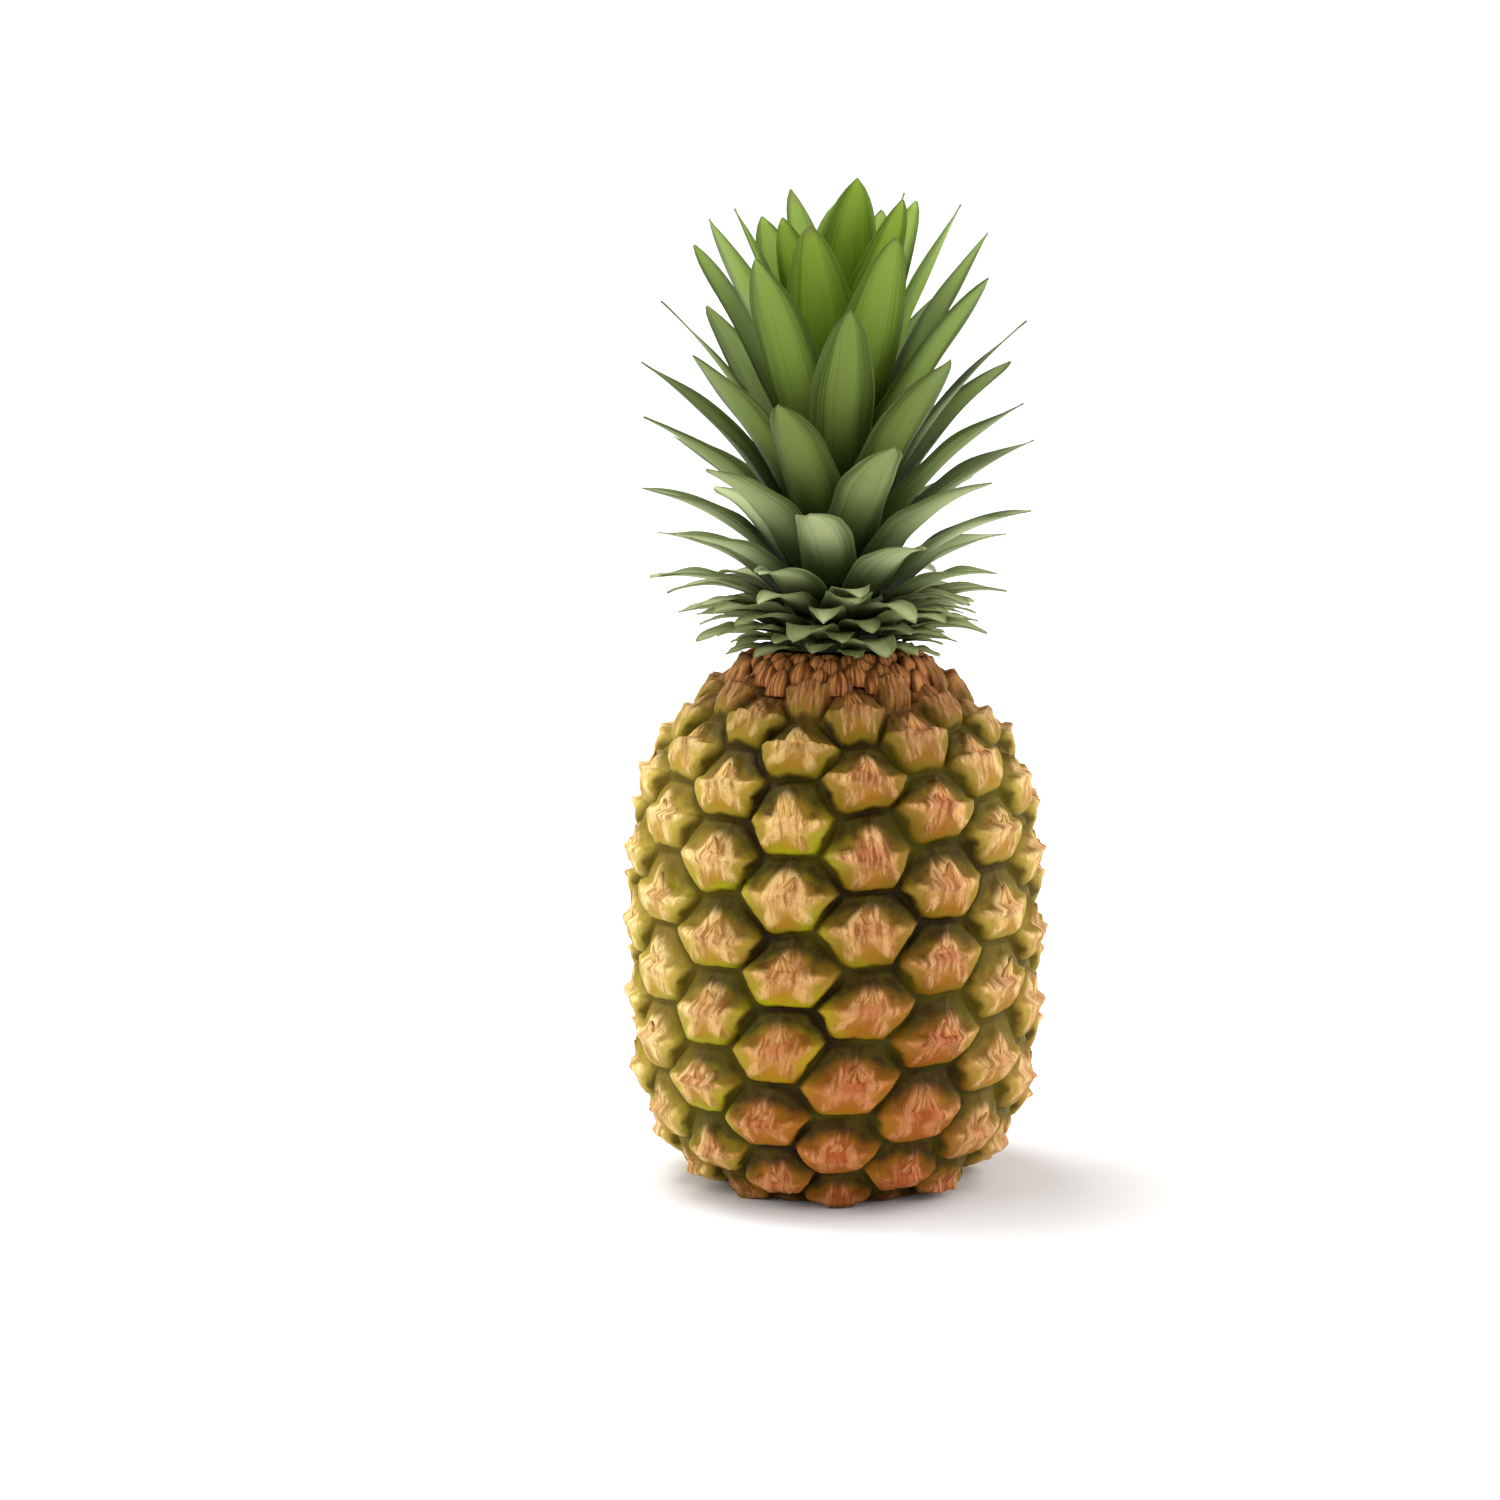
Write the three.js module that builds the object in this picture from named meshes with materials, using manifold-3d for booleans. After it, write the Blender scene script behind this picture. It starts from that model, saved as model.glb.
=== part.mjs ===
// A whole pineapple standing on its base: the fruit with its skin of eyes, the short crown stem on top
// of it, and the crown's leaves, each a separate solid. Millimetres, +Z up, origin at the centre of the
// flat spot that the fruit rests on. The front is -Y, and azimuths run from -Y towards +X.
import * as THREE from "three";
import { mergeVertices } from "three/addons/utils/BufferGeometryUtils.js";
import Module from "manifold-3d";

const DEG = Math.PI / 180;
const GAP = 0.3; // clearance between neighbouring solids

// ---- Driving dimensions of the fruit ----
const FRUIT_HEIGHT = 163;
// The fruit's outline as radius and height, from the edge of the flat spot up to the neck.
const OUTLINE = [
  [34, 0], [38.6, 1.2], [44, 4.8], [50, 11], [54.4, 17.5], [58.2, 27], [60.6, 40],
  [61.8, 58], [62.2, 84], [61.4, 104], [59.2, 119], [55, 131], [48.4, 140.5], [39.8, 149],
  [31.2, 156], [26, 160.6], [22.2, 162.7],
];
const SPOT_RADIUS = OUTLINE[0][0];
const NECK_RADIUS = OUTLINE[OUTLINE.length - 1][0];
const TOP_CORE_RADIUS = 15; // the spiral of eyes ends here, under the crown
const SPOT_CORE_RADIUS = 17; // and here, around the cut stalk

// ---- Driving dimensions of the eyes ----
const EYE_PITCH = 22.7; // from one eye to the next one below it, along the skin
const COLUMNS = 16; // upright columns of eyes
const COLUMN_ANGLE = 360 / COLUMNS;
const RIGHT_STEP = 7; // eyes along the spiral to the neighbour in the next column to the right
const SPIRAL_ANGLE = 157.5; // turn from one eye of the spiral to the next
const FIRST_EYE = { azimuth: -13, height: 120 };
const GROOVE_DEPTH = 2.3;
const SHOULDER_HEIGHT = 0.4;
const CENTRE_HEIGHT = 1.3;
const SHOULDER_SHARE = 0.74; // size of the flat of an eye against its whole cell
// Low on the front the columns lean to the left.
const LEAN = { angle: -8.5, height: 48, drop: 0.18, spread: 26 };

// ---- Driving dimensions of the crown ----
const GOLDEN_ANGLE = 137.508;
const COLLAR_LEAVES = 13; // the smallest leaves, which share one ring at the neck
const SINGLE_LEAVES = 56;
const LEAVES = COLLAR_LEAVES + SINGLE_LEAVES;
const FIRST_LEAF_AZIMUTH = 20;
const STEM = { foot: FRUIT_HEIGHT + GAP, height: 57, footRadius: 19.5, topRadius: 3.2 };
const LOWEST_LEAF = 1.4; // above the stem's foot
const LEAF_RISE = 50.5; // from the lowest leaf's foot to the highest leaf's
const LEAF_FOOT_THICKNESS = { lowest: 1.3, highest: 0.5 };
const LEAF_TIP_THICKNESS = 0.5;
const LEAF_EDGE_SHARE = 0.6; // thickness of a leaf's edge against its middle
const TROUGH_RADIUS = 11; // hollow of a leaf's upper face, away from its foot
const FULLEST_WRAP = 1.15; // how far round its trough each half of a leaf may reach, in radians
const HEART = { radius: 2.3, length: 58 };

const smoothstep = (low, high, x) => THREE.MathUtils.smoothstep(x, low, high);
const mix = THREE.MathUtils.lerp;

// ---------------------------------------------------------------- the fruit

// The outline as one smooth curve, lengthened along the flat spot and the top to where the eyes end.
const outlineCurve = new THREE.CatmullRomCurve3(
  [[SPOT_CORE_RADIUS, 0], [SPOT_RADIUS - 6, 0], ...OUTLINE, [TOP_CORE_RADIUS, FRUIT_HEIGHT]].map(
    ([r, z]) => new THREE.Vector3(r, 0, Math.max(z, 0)),
  ),
  false,
  "centripetal",
);
outlineCurve.arcLengthDivisions = 600;
const OUTLINE_LENGTH = outlineCurve.getLength();
const FIRST_EYE_ARC = arcAtHeight(FIRST_EYE.height);

// Length along the outline at which it passes a height.
function arcAtHeight(height) {
  const steps = 800;
  for (let k = 1; k <= steps; k++)
    if (outlineCurve.getPointAt(k / steps).z >= height) return (k / steps) * OUTLINE_LENGTH;
  return OUTLINE_LENGTH;
}

// Place on the skin of a point of the eye pattern: an azimuth in degrees, a place along the spiral
// counted in eyes, and a share of the full relief.
function skinPoint(azimuth, turn, relief) {
  const arc = FIRST_EYE_ARC - (turn * EYE_PITCH) / COLUMNS;
  const share = THREE.MathUtils.clamp(arc / OUTLINE_LENGTH, 0, 1);
  const p = outlineCurve.getPointAt(share);
  const t = outlineCurve.getTangentAt(share);
  const lift = relief * reliefShare(p);
  const r = p.x + t.z * lift;
  const z = THREE.MathUtils.clamp(p.z - t.x * lift, 0, FRUIT_HEIGHT);
  const a = (azimuth + lean(azimuth, p.z)) * DEG;
  return new THREE.Vector3(r * Math.sin(a), -r * Math.cos(a), p.z <= 0 ? 0 : z);
}

// The eyes flatten out towards the flat spot and the neck.
function reliefShare(p) {
  const start = p.z < FRUIT_HEIGHT / 2 ? SPOT_RADIUS : NECK_RADIUS;
  return smoothstep(start, start + 8, p.x);
}

function lean(azimuth, z) {
  const wrapped = THREE.MathUtils.euclideanModulo(azimuth + 180, 360) - 180;
  const start = LEAN.height - LEAN.drop * wrapped;
  const front = 0.5 + 0.5 * Math.cos(wrapped * DEG);
  return LEAN.angle * front * smoothstep(-LEAN.spread, LEAN.spread, start - z);
}

// The six corners of an eye's cell, as azimuth and turn from its centre: the middles of the triangles
// that it makes with its neighbours at +-RIGHT_STEP, +-(COLUMNS - RIGHT_STEP) and +-COLUMNS.
const LEFT_STEP = COLUMNS - RIGHT_STEP;
const CELL_CORNERS = [
  [[1, RIGHT_STEP], [0, COLUMNS]],
  [[0, COLUMNS], [-1, LEFT_STEP]],
  [[-1, LEFT_STEP], [-1, -RIGHT_STEP]],
  [[-1, -RIGHT_STEP], [0, -COLUMNS]],
  [[0, -COLUMNS], [1, -LEFT_STEP]],
  [[1, -LEFT_STEP], [1, RIGHT_STEP]],
].map(([a, b]) => [((a[0] + b[0]) * COLUMN_ANGLE) / 3, (a[1] + b[1]) / 3]);

// The whole skin: each eye is a groove at its cell's edge, a flat shoulder and a raised middle. The
// ragged ends of the spiral close in two flat fans, at the flat spot and at the top.
function fruitGeometry() {
  const arcOfTurn = EYE_PITCH / COLUMNS;
  const firstTurn = Math.ceil((FIRST_EYE_ARC - OUTLINE_LENGTH) / arcOfTurn) + RIGHT_STEP;
  const lastTurn = Math.floor(FIRST_EYE_ARC / arcOfTurn) - RIGHT_STEP;
  const triangles = [];
  for (let eye = firstTurn; eye <= lastTurn; eye++) {
    const azimuth = FIRST_EYE.azimuth + eye * SPIRAL_ANGLE;
    const ring = (share, relief) =>
      CELL_CORNERS.map(([a, t]) => skinPoint(azimuth + a * share, eye + t * share, relief));
    const groove = ring(1, -GROOVE_DEPTH);
    const shoulder = ring(SHOULDER_SHARE, SHOULDER_HEIGHT);
    const centre = skinPoint(azimuth, eye, CENTRE_HEIGHT);
    for (let k = 0; k < 6; k++) {
      const n = (k + 1) % 6;
      triangles.push([groove[k], shoulder[k], shoulder[n]]);
      triangles.push([groove[k], shoulder[n], groove[n]]);
      triangles.push([shoulder[k], centre, shoulder[n]]);
    }
  }
  return closedGeometry(triangles, [new THREE.Vector3(0, 0, 0), new THREE.Vector3(0, 0, FRUIT_HEIGHT)]);
}

// Joins loose triangles, and closes each open edge with a triangle to the nearer of the two end points.
function closedGeometry(triangles, ends) {
  const key = (p) => p.toArray().map((x) => Math.round(x * 1000)).join();
  const open = new Map();
  for (const t of triangles)
    for (let k = 0; k < 3; k++) {
      const [a, b] = [t[k], t[(k + 1) % 3]];
      const back = key(b) + "/" + key(a);
      if (open.has(back)) open.delete(back);
      else open.set(key(a) + "/" + key(b), [a, b]);
    }
  const all = [...triangles];
  for (const [a, b] of open.values()) all.push([b, a, a.z < FRUIT_HEIGHT / 2 ? ends[0] : ends[1]]);
  const g = new THREE.BufferGeometry().setFromPoints(all.flat());
  const merged = mergeVertices(g, 1e-3);
  merged.computeVertexNormals();
  return merged;
}

// ---------------------------------------------------------------- the crown

const stemRadius = (height) => mix(STEM.footRadius, STEM.topRadius, Math.pow(height / STEM.height, 0.85));

function stemGeometry() {
  const profile = [new THREE.Vector2(0, 0)];
  for (let k = 0; k <= 8; k++) {
    const height = (k / 8) * STEM.height;
    profile.push(new THREE.Vector2(stemRadius(height), height));
  }
  profile.push(new THREE.Vector2(0, STEM.height));
  return new THREE.LatheGeometry(profile, 32).rotateX(Math.PI / 2);
}

// What one leaf of the crown is like, from the lowest (0) to the highest (LEAVES - 1).
function leafShape(index) {
  const f = index / (LEAVES - 1);
  const foot = LOWEST_LEAF + LEAF_RISE * Math.pow(f, 1.12);
  const vary = Math.sin(index * 2.4) * 0.5 + Math.sin(index * 5.1) * 0.5; // -1 to 1, leaf by leaf
  const length = (26 + 88 * Math.pow(f, 1.25) - 27 * smoothstep(0.78, 1, f)) * (1 + 0.05 * vary);
  const middle = 1 + 81 * Math.pow(f, 1.05);
  const bend = mix(24, 9, f);
  const thickness = mix(LEAF_FOOT_THICKNESS.lowest, LEAF_FOOT_THICKNESS.highest, f);
  return {
    foot,
    length,
    thickness,
    nested: smoothstep(0.55, 0.85, f), // the highest leaves stay wrapped round one another
    azimuth: FIRST_LEAF_AZIMUTH + index * GOLDEN_ANGLE,
    footAngle: (middle + bend) * DEG, // the leaf's slope at its foot and at its tip
    tipAngle: (middle - bend + 2 * vary) * DEG,
    halfWidth: mix(6.4, 9, smoothstep(0, 0.6, f)),
    footWrap: mix(0.85, 0.55, f), // how far round the stem each half of the foot reaches, in radians
    footRadius: stemRadius(foot) + GAP + thickness,
  };
}

// Half the leaf's width at a share t of its length: a clasping foot, widest at a quarter, a sharp tip.
function leafHalfWidth(leaf, t) {
  const widest = mix(0.26, 0.42, leaf.nested);
  const foot = Math.min(0.85, (leaf.footWrap * leaf.footRadius) / leaf.halfWidth);
  const share = t < widest
    ? mix(foot, 1, smoothstep(0, widest, t))
    : Math.pow(1 - Math.pow((t - widest) / (1 - widest), 2), 0.9);
  return Math.max(share * leaf.halfWidth, 0.45);
}

// One leaf, growing from the stem towards +X of its own frame, with its foot at height 0. Its middle
// line is a circular arc, and its cross-section a trough that is open to the stem.
function leafGeometry(leaf) {
  const g = new THREE.BoxGeometry(1, 1, 1, leaf.nested > 0.3 ? 4 : 2, 1, 7);
  const p = g.attributes.position;
  const bend = leaf.footAngle - leaf.tipAngle;
  for (let k = 0; k < p.count; k++) {
    const t = p.getZ(k) + 0.5;
    const angle = leaf.footAngle - bend * t;
    const along = (leaf.length / bend) * (Math.sin(leaf.footAngle) - Math.sin(angle));
    const up = (leaf.length / bend) * (Math.cos(angle) - Math.cos(leaf.footAngle));
    const clasp = leaf.footRadius / Math.max(Math.sin(leaf.footAngle), 0.3);
    const wrap = (leaf.footRadius + along) / Math.max(Math.sin(angle), 0.3);
    const trough = mix(clasp, mix(TROUGH_RADIUS, wrap, leaf.nested), smoothstep(0, 0.5, t));
    const side = p.getX(k) * 2;
    const turn = side * Math.min(leafHalfWidth(leaf, t) / trough, FULLEST_WRAP);
    const edge = mix(1, LEAF_EDGE_SHARE, Math.abs(side));
    const thickness = mix(leaf.thickness, LEAF_TIP_THICKNESS, t) * edge;
    const depth = trough * (1 - Math.cos(turn)) - p.getY(k) * thickness;
    p.setXYZ(
      k,
      leaf.footRadius + along - Math.sin(angle) * depth,
      -trough * Math.sin(turn),
      up + Math.cos(angle) * depth,
    );
  }
  return g;
}

function leafMesh(index) {
  const leaf = leafShape(index);
  const mesh = new THREE.Mesh(leafGeometry(leaf), leafMaterial);
  mesh.rotation.z = (leaf.azimuth - 90) * DEG;
  mesh.position.z = leaf.foot;
  return mesh;
}

// The closed bud of the youngest leaves, standing on the stem's top.
function heartGeometry() {
  const profile = [[0, 0], [0.9, 0], [1, 0.15], [1, 0.45], [0.62, 0.8], [0.12, 1], [0, 1]].map(
    ([r, h]) => new THREE.Vector2(r * HEART.radius, h * HEART.length),
  );
  return new THREE.LatheGeometry(profile, 12).rotateX(Math.PI / 2);
}

// ---------------------------------------------------------------- joins by boolean

const wasm = await Module();
wasm.setup();

function toSolid(mesh) {
  mesh.updateMatrixWorld(true);
  const g = mesh.geometry.clone().applyMatrix4(mesh.matrixWorld);
  g.deleteAttribute("normal");
  g.deleteAttribute("uv");
  const merged = mergeVertices(g, 1e-3);
  return new wasm.Manifold(
    new wasm.Mesh({
      numProp: 3,
      vertProperties: merged.attributes.position.array,
      triVerts: new Uint32Array(merged.index.array),
    }),
  );
}

function toGeometry(solid) {
  const m = solid.getMesh();
  const g = new THREE.BufferGeometry();
  g.setAttribute("position", new THREE.BufferAttribute(m.vertProperties, 3));
  g.setIndex(new THREE.BufferAttribute(m.triVerts, 1));
  g.computeVertexNormals();
  return g;
}

// A thin sleeve around the stem's foot, which the collar's small leaves grow from.
function sleeveMesh() {
  const top = leafShape(COLLAR_LEAVES - 1).foot;
  const low = LOWEST_LEAF - 1;
  const profile = [];
  const thickness = leafShape(0).thickness;
  for (const h of [low, top]) profile.push(new THREE.Vector2(stemRadius(h) + GAP + thickness, h));
  for (const h of [top, low]) profile.push(new THREE.Vector2(stemRadius(h) + GAP, h));
  profile.push(profile[0].clone());
  return new THREE.Mesh(new THREE.LatheGeometry(profile, 32).rotateX(Math.PI / 2));
}

function collarGeometry() {
  let solid = toSolid(sleeveMesh());
  for (let k = 0; k < COLLAR_LEAVES; k++) solid = solid.add(toSolid(leafMesh(k)));
  return toGeometry(solid);
}

// ---------------------------------------------------------------- materials and the whole

const rindMaterial = new THREE.MeshStandardMaterial({ color: 0xb08a45, roughness: 0.62, metalness: 0 });
const leafMaterial = new THREE.MeshStandardMaterial({ color: 0x5f7440, roughness: 0.5, metalness: 0 });
const stemMaterial = new THREE.MeshStandardMaterial({ color: 0xb9b886, roughness: 0.7, metalness: 0 });

const pineapple = new THREE.Group();

const fruit = new THREE.Mesh(fruitGeometry(), rindMaterial);
fruit.name = "fruit";
pineapple.add(fruit);

const crown = new THREE.Group();
crown.position.z = STEM.foot;
pineapple.add(crown);

const stem = new THREE.Mesh(stemGeometry(), stemMaterial);
stem.name = "crown_stem";
crown.add(stem);

const collar = new THREE.Mesh(collarGeometry(), leafMaterial);
collar.name = "crown_collar";
crown.add(collar);

for (let k = 1; k <= SINGLE_LEAVES; k++) {
  const leaf = leafMesh(COLLAR_LEAVES + k - 1);
  leaf.name = "leaf_" + String(k).padStart(2, "0");
  crown.add(leaf);
}

const heart = new THREE.Mesh(heartGeometry(), leafMaterial);
heart.name = "crown_heart";
heart.position.z = STEM.height + GAP;
crown.add(heart);

export default pineapple;
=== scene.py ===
"""The looks of a whole pineapple: skin, bracts, stalk scar, crown stem and every leaf of the crown.

The front is -Y. Azimuths are in degrees from -Y towards +X, and lengths are in metres unless a name
ends in _MM.
"""
import math

import bmesh
import bpy
import numpy as np
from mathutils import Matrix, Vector, noise


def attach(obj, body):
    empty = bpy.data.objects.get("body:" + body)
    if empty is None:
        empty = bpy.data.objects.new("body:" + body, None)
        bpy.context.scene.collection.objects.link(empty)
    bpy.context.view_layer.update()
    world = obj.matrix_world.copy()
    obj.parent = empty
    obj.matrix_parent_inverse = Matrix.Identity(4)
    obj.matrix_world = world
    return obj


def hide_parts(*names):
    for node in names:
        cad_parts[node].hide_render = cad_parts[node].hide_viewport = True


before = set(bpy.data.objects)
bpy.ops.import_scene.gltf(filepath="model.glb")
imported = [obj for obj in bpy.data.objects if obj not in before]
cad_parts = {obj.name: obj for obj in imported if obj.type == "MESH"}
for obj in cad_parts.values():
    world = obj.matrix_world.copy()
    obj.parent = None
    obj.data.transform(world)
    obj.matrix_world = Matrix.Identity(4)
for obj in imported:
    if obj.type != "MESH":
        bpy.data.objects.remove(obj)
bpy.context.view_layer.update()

# ---- The fruit ----
FRUIT_HEIGHT_MM = 163.0
OUTLINE_MM = [
    (34, 0), (38.6, 1.2), (44, 4.8), (50, 11), (54.4, 17.5), (58.2, 27), (60.6, 40),
    (61.8, 58), (62.2, 84), (61.4, 104), (59.2, 119), (55.0, 131), (48.4, 140.5), (39.8, 149),
    (31.2, 156), (26, 160.6), (22.2, 162.7),
]
TOP_CORE_MM = 15.0  # radius at which the spiral of eyes ends under the crown
SPOT_CORE_MM = 17.0  # and around the cut stalk
EYE_PITCH_MM = 22.7  # from an eye to the next one above it
COLUMNS = 16
RIGHT_STEP = 7  # places along the spiral from an eye to its lower right neighbour
SPIRAL_ANGLE = 157.5  # from one eye to the next along the spiral
EYE_HALF_ANGLE = 15.0  # half an eye's width, in degrees around the fruit
EYE_HALF_TURN = 8.0  # and half its height, in places along the spiral
FIRST_EYE_AZIMUTH = -13.0
FIRST_EYE_HEIGHT_MM = 120.0
LEAN_ANGLE = -8.5  # the eyes below LEAN_HEIGHT_MM in front sit this many degrees to the left
LEAN_HEIGHT_MM = 48.0
LEAN_DROP = 0.18
LEAN_SPREAD_MM = 26.0
SKIN_INSET_MM = 1.4  # the skin's zero level lies this far inside the outline, so that bracts reach it
EDGE_SAMPLES = 8  # points along each of the six edges of an eye
EYE_RINGS = 14
NECK_BRACTS = 84

# ---- The crown ----
GOLDEN_ANGLE = 137.508
COLLAR_LEAVES = 13
LEAVES = COLLAR_LEAVES + 56
FRINGE_LEAVES = 60
HEART_LEAVES = 9
FIRST_LEAF_AZIMUTH = 20.0
STEM_FOOT_MM = 163.3
STEM_HEIGHT_MM = 57.0
STEM_FOOT_RADIUS_MM = 19.5
STEM_TOP_RADIUS_MM = 3.2
LOWEST_LEAF_MM = 1.4
LEAF_RISE_MM = 50.5
FULLEST_WRAP = 1.15  # half the arc, in radians, that a leaf may bend into across its width


def smoothstep(low, high, x):
    t = np.clip((np.asarray(x, float) - low) / (high - low), 0.0, 1.0)
    return t * t * (3.0 - 2.0 * t)


def mix(a, b, t):
    return a + (b - a) * t


def seeded(k, salt=0.0):
    """A repeatable number from 0 to 1 for an index."""
    return (math.sin(k * 12.9898 + salt * 78.233) * 43758.5453) % 1.0


# ------------------------------------------------------------------ mesh helpers


def finish_piece(name, bm, material, replaces=(), outward=True):
    """Turns a bmesh into a piece of the object, riding on its one body."""
    if outward:
        bmesh.ops.recalc_face_normals(bm, faces=bm.faces)
    mesh = bpy.data.meshes.new(name)
    bm.to_mesh(mesh)
    bm.free()
    for polygon in mesh.polygons:
        polygon.use_smooth = True
    piece = bpy.data.objects.new(name, mesh)
    bpy.context.scene.collection.objects.link(piece)
    mesh.materials.append(material)
    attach(piece, "root")
    if replaces:
        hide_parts(*replaces)
    return piece


def sheet_of_points(bm, points, layers):
    """Adds a grid whose vertices take the places in points[row][column].

    layers maps a UV layer to its values at the same rows and columns. Returns the new faces.
    """
    rows, columns = points.shape[0], points.shape[1]
    made = bmesh.ops.create_grid(bm, x_segments=columns - 1, y_segments=rows - 1, size=1.0)
    verts = made["verts"]
    flat = points.reshape(-1, 3)
    place = {}
    for k, vert in enumerate(verts):
        vert.co = flat[k]
        place[vert] = k
    faces = {face for vert in verts for face in vert.link_faces}
    for layer, values in layers.items():
        table = values.reshape(-1, 2)
        for face in faces:
            for loop in face.loops:
                loop[layer].uv = table[place[loop.vert]]
    return list(faces)


def flat_values(like, first, second):
    """A UV table of the same pair of values at every point of a grid."""
    return np.stack([np.full_like(like, first), np.full_like(like, second)], axis=-1)


# ------------------------------------------------------------------ the skin of eyes


def smooth_outline():
    """The outline as a dense smooth curve: arc length, radius, height and direction, in millimetres."""
    points = [(SPOT_CORE_MM, 0.0), (OUTLINE_MM[0][0] - 6.0, 0.0), *OUTLINE_MM, (TOP_CORE_MM, FRUIT_HEIGHT_MM)]
    p = np.array(points, float)
    p = np.vstack([2 * p[0] - p[1], p, 2 * p[-1] - p[-2]])
    track = []
    for k in range(1, len(p) - 2):
        p0, p1, p2, p3 = p[k - 1 : k + 3]
        d0, d1, d2 = (math.sqrt(np.linalg.norm(b - a)) for a, b in ((p0, p1), (p1, p2), (p2, p3)))
        m1 = ((p1 - p0) / d0 - (p2 - p0) / (d0 + d1) + (p2 - p1) / d1) * d1
        m2 = ((p2 - p1) / d1 - (p3 - p1) / (d1 + d2) + (p3 - p2) / d2) * d1
        for t in np.linspace(0, 1, 40, endpoint=False):
            track.append(
                (2 * t**3 - 3 * t**2 + 1) * p1 + (t**3 - 2 * t**2 + t) * m1
                + (3 * t**2 - 2 * t**3) * p2 + (t**3 - t**2) * m2
            )
    track.append(p[-2])
    track = np.array(track)
    arc = np.concatenate([[0], np.cumsum(np.linalg.norm(np.diff(track, axis=0), axis=1))])
    slope = np.gradient(track, arc, axis=0)
    slope /= np.linalg.norm(slope, axis=1)[:, None]
    return arc, track[:, 0], np.maximum(track[:, 1], 0.0), slope[:, 0], slope[:, 1]


ARC, RADIUS, HEIGHT, SLOPE_R, SLOPE_Z = smooth_outline()
FIRST_EYE_ARC = float(np.interp(FIRST_EYE_HEIGHT_MM, HEIGHT, ARC))


def relief_share(radius, height):
    """Relief fades out towards the flat spot, and is smaller on the crowded eyes at the neck."""
    low = smoothstep(34.0, 42.0, radius)
    high = 0.7 + 0.3 * smoothstep(23.5, 40.0, radius)
    return np.where(height < FRUIT_HEIGHT_MM / 2, low, high)


def skin_point(azimuth, turn, lift_mm):
    """Places on the skin, in metres, of azimuths in degrees and places along the spiral of eyes."""
    arc = FIRST_EYE_ARC - turn * EYE_PITCH_MM / COLUMNS
    around = np.radians(azimuth)
    # Eyes are never quite regular: these waves shift them by about a millimetre, and meet round the back.
    uneven = 0.6 * np.sin(4 * around + 0.17 * arc) + 0.5 * np.sin(7 * around - 0.23 * arc + 2.0)
    sideways = 0.7 * np.sin(5 * around + 0.19 * arc + 1.0) + 0.5 * np.sin(9 * around - 0.16 * arc + 4.0)
    calm = smoothstep(0.0, 22.0, arc) * (1.0 - smoothstep(-22.0, 0.0, arc - ARC[-1]))
    azimuth = azimuth + sideways * calm
    arc = np.clip(arc + uneven * calm, 0, ARC[-1])
    r0, z0 = np.interp(arc, ARC, RADIUS), np.interp(arc, ARC, HEIGHT)
    nr, nz = np.interp(arc, ARC, SLOPE_Z), -np.interp(arc, ARC, SLOPE_R)
    lift = (lift_mm - SKIN_INSET_MM) * relief_share(r0, z0)
    r, z = r0 + nr * lift, z0 + nz * lift
    wrapped = (azimuth + 180.0) % 360.0 - 180.0
    front = 0.5 + 0.5 * np.cos(np.radians(wrapped))
    start = LEAN_HEIGHT_MM - LEAN_DROP * wrapped
    lean = LEAN_ANGLE * front * smoothstep(-LEAN_SPREAD_MM, LEAN_SPREAD_MM, start - z0)
    a = np.radians(azimuth + lean)
    z = np.clip(z, 0.0, FRUIT_HEIGHT_MM)
    return np.stack([r * np.sin(a), -r * np.cos(a), z], axis=-1) / 1000.0


def cell_corners():
    """The six corners of an eye's cell, as azimuth and turn from its centre."""
    step, left = 360.0 / COLUMNS, COLUMNS - RIGHT_STEP
    around = [(1, RIGHT_STEP), (0, COLUMNS), (-1, left), (-1, -RIGHT_STEP), (0, -COLUMNS), (1, -left)]
    corners = []
    for k in range(6):
        a, b = around[k], around[(k + 1) % 6]
        corners.append(((a[0] + b[0]) * step / 3.0, (a[1] + b[1]) / 3.0))
    return np.array(corners)


def eye_grid():
    """The rings of one eye, from its centre to its cell's edge: azimuth, turn and ring share."""
    corners = cell_corners()
    border = []
    for k in range(6):
        for t in np.linspace(0, 1, EDGE_SAMPLES, endpoint=False):
            border.append(mix(corners[k], corners[(k + 1) % 6], t))
    border.append(border[0])
    border = np.array(border)
    unit = border / np.array([EYE_HALF_ANGLE, EYE_HALF_TURN])
    round_border = unit / np.linalg.norm(unit, axis=1)[:, None] * np.array([13.4, EYE_HALF_TURN]) * 0.97
    share = np.linspace(0, 1, EYE_RINGS + 1) ** 0.85
    share[0] = 0.0
    round_weight = 1.0 - smoothstep(0.72, 1.0, share)
    grid = np.zeros((len(share), len(border), 2))
    for j, s in enumerate(share):
        grid[j] = s * mix(border, round_border, round_weight[j])
    return grid, np.repeat(share[:, None], len(border), axis=1)


def tip_half_width(reach, width):
    """Half the width of an eye's upright tip, as a share of the eye, along its rise."""
    return width * (1.0 - reach) ** 1.15 + 0.05 * (1.0 - reach**6)


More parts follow.
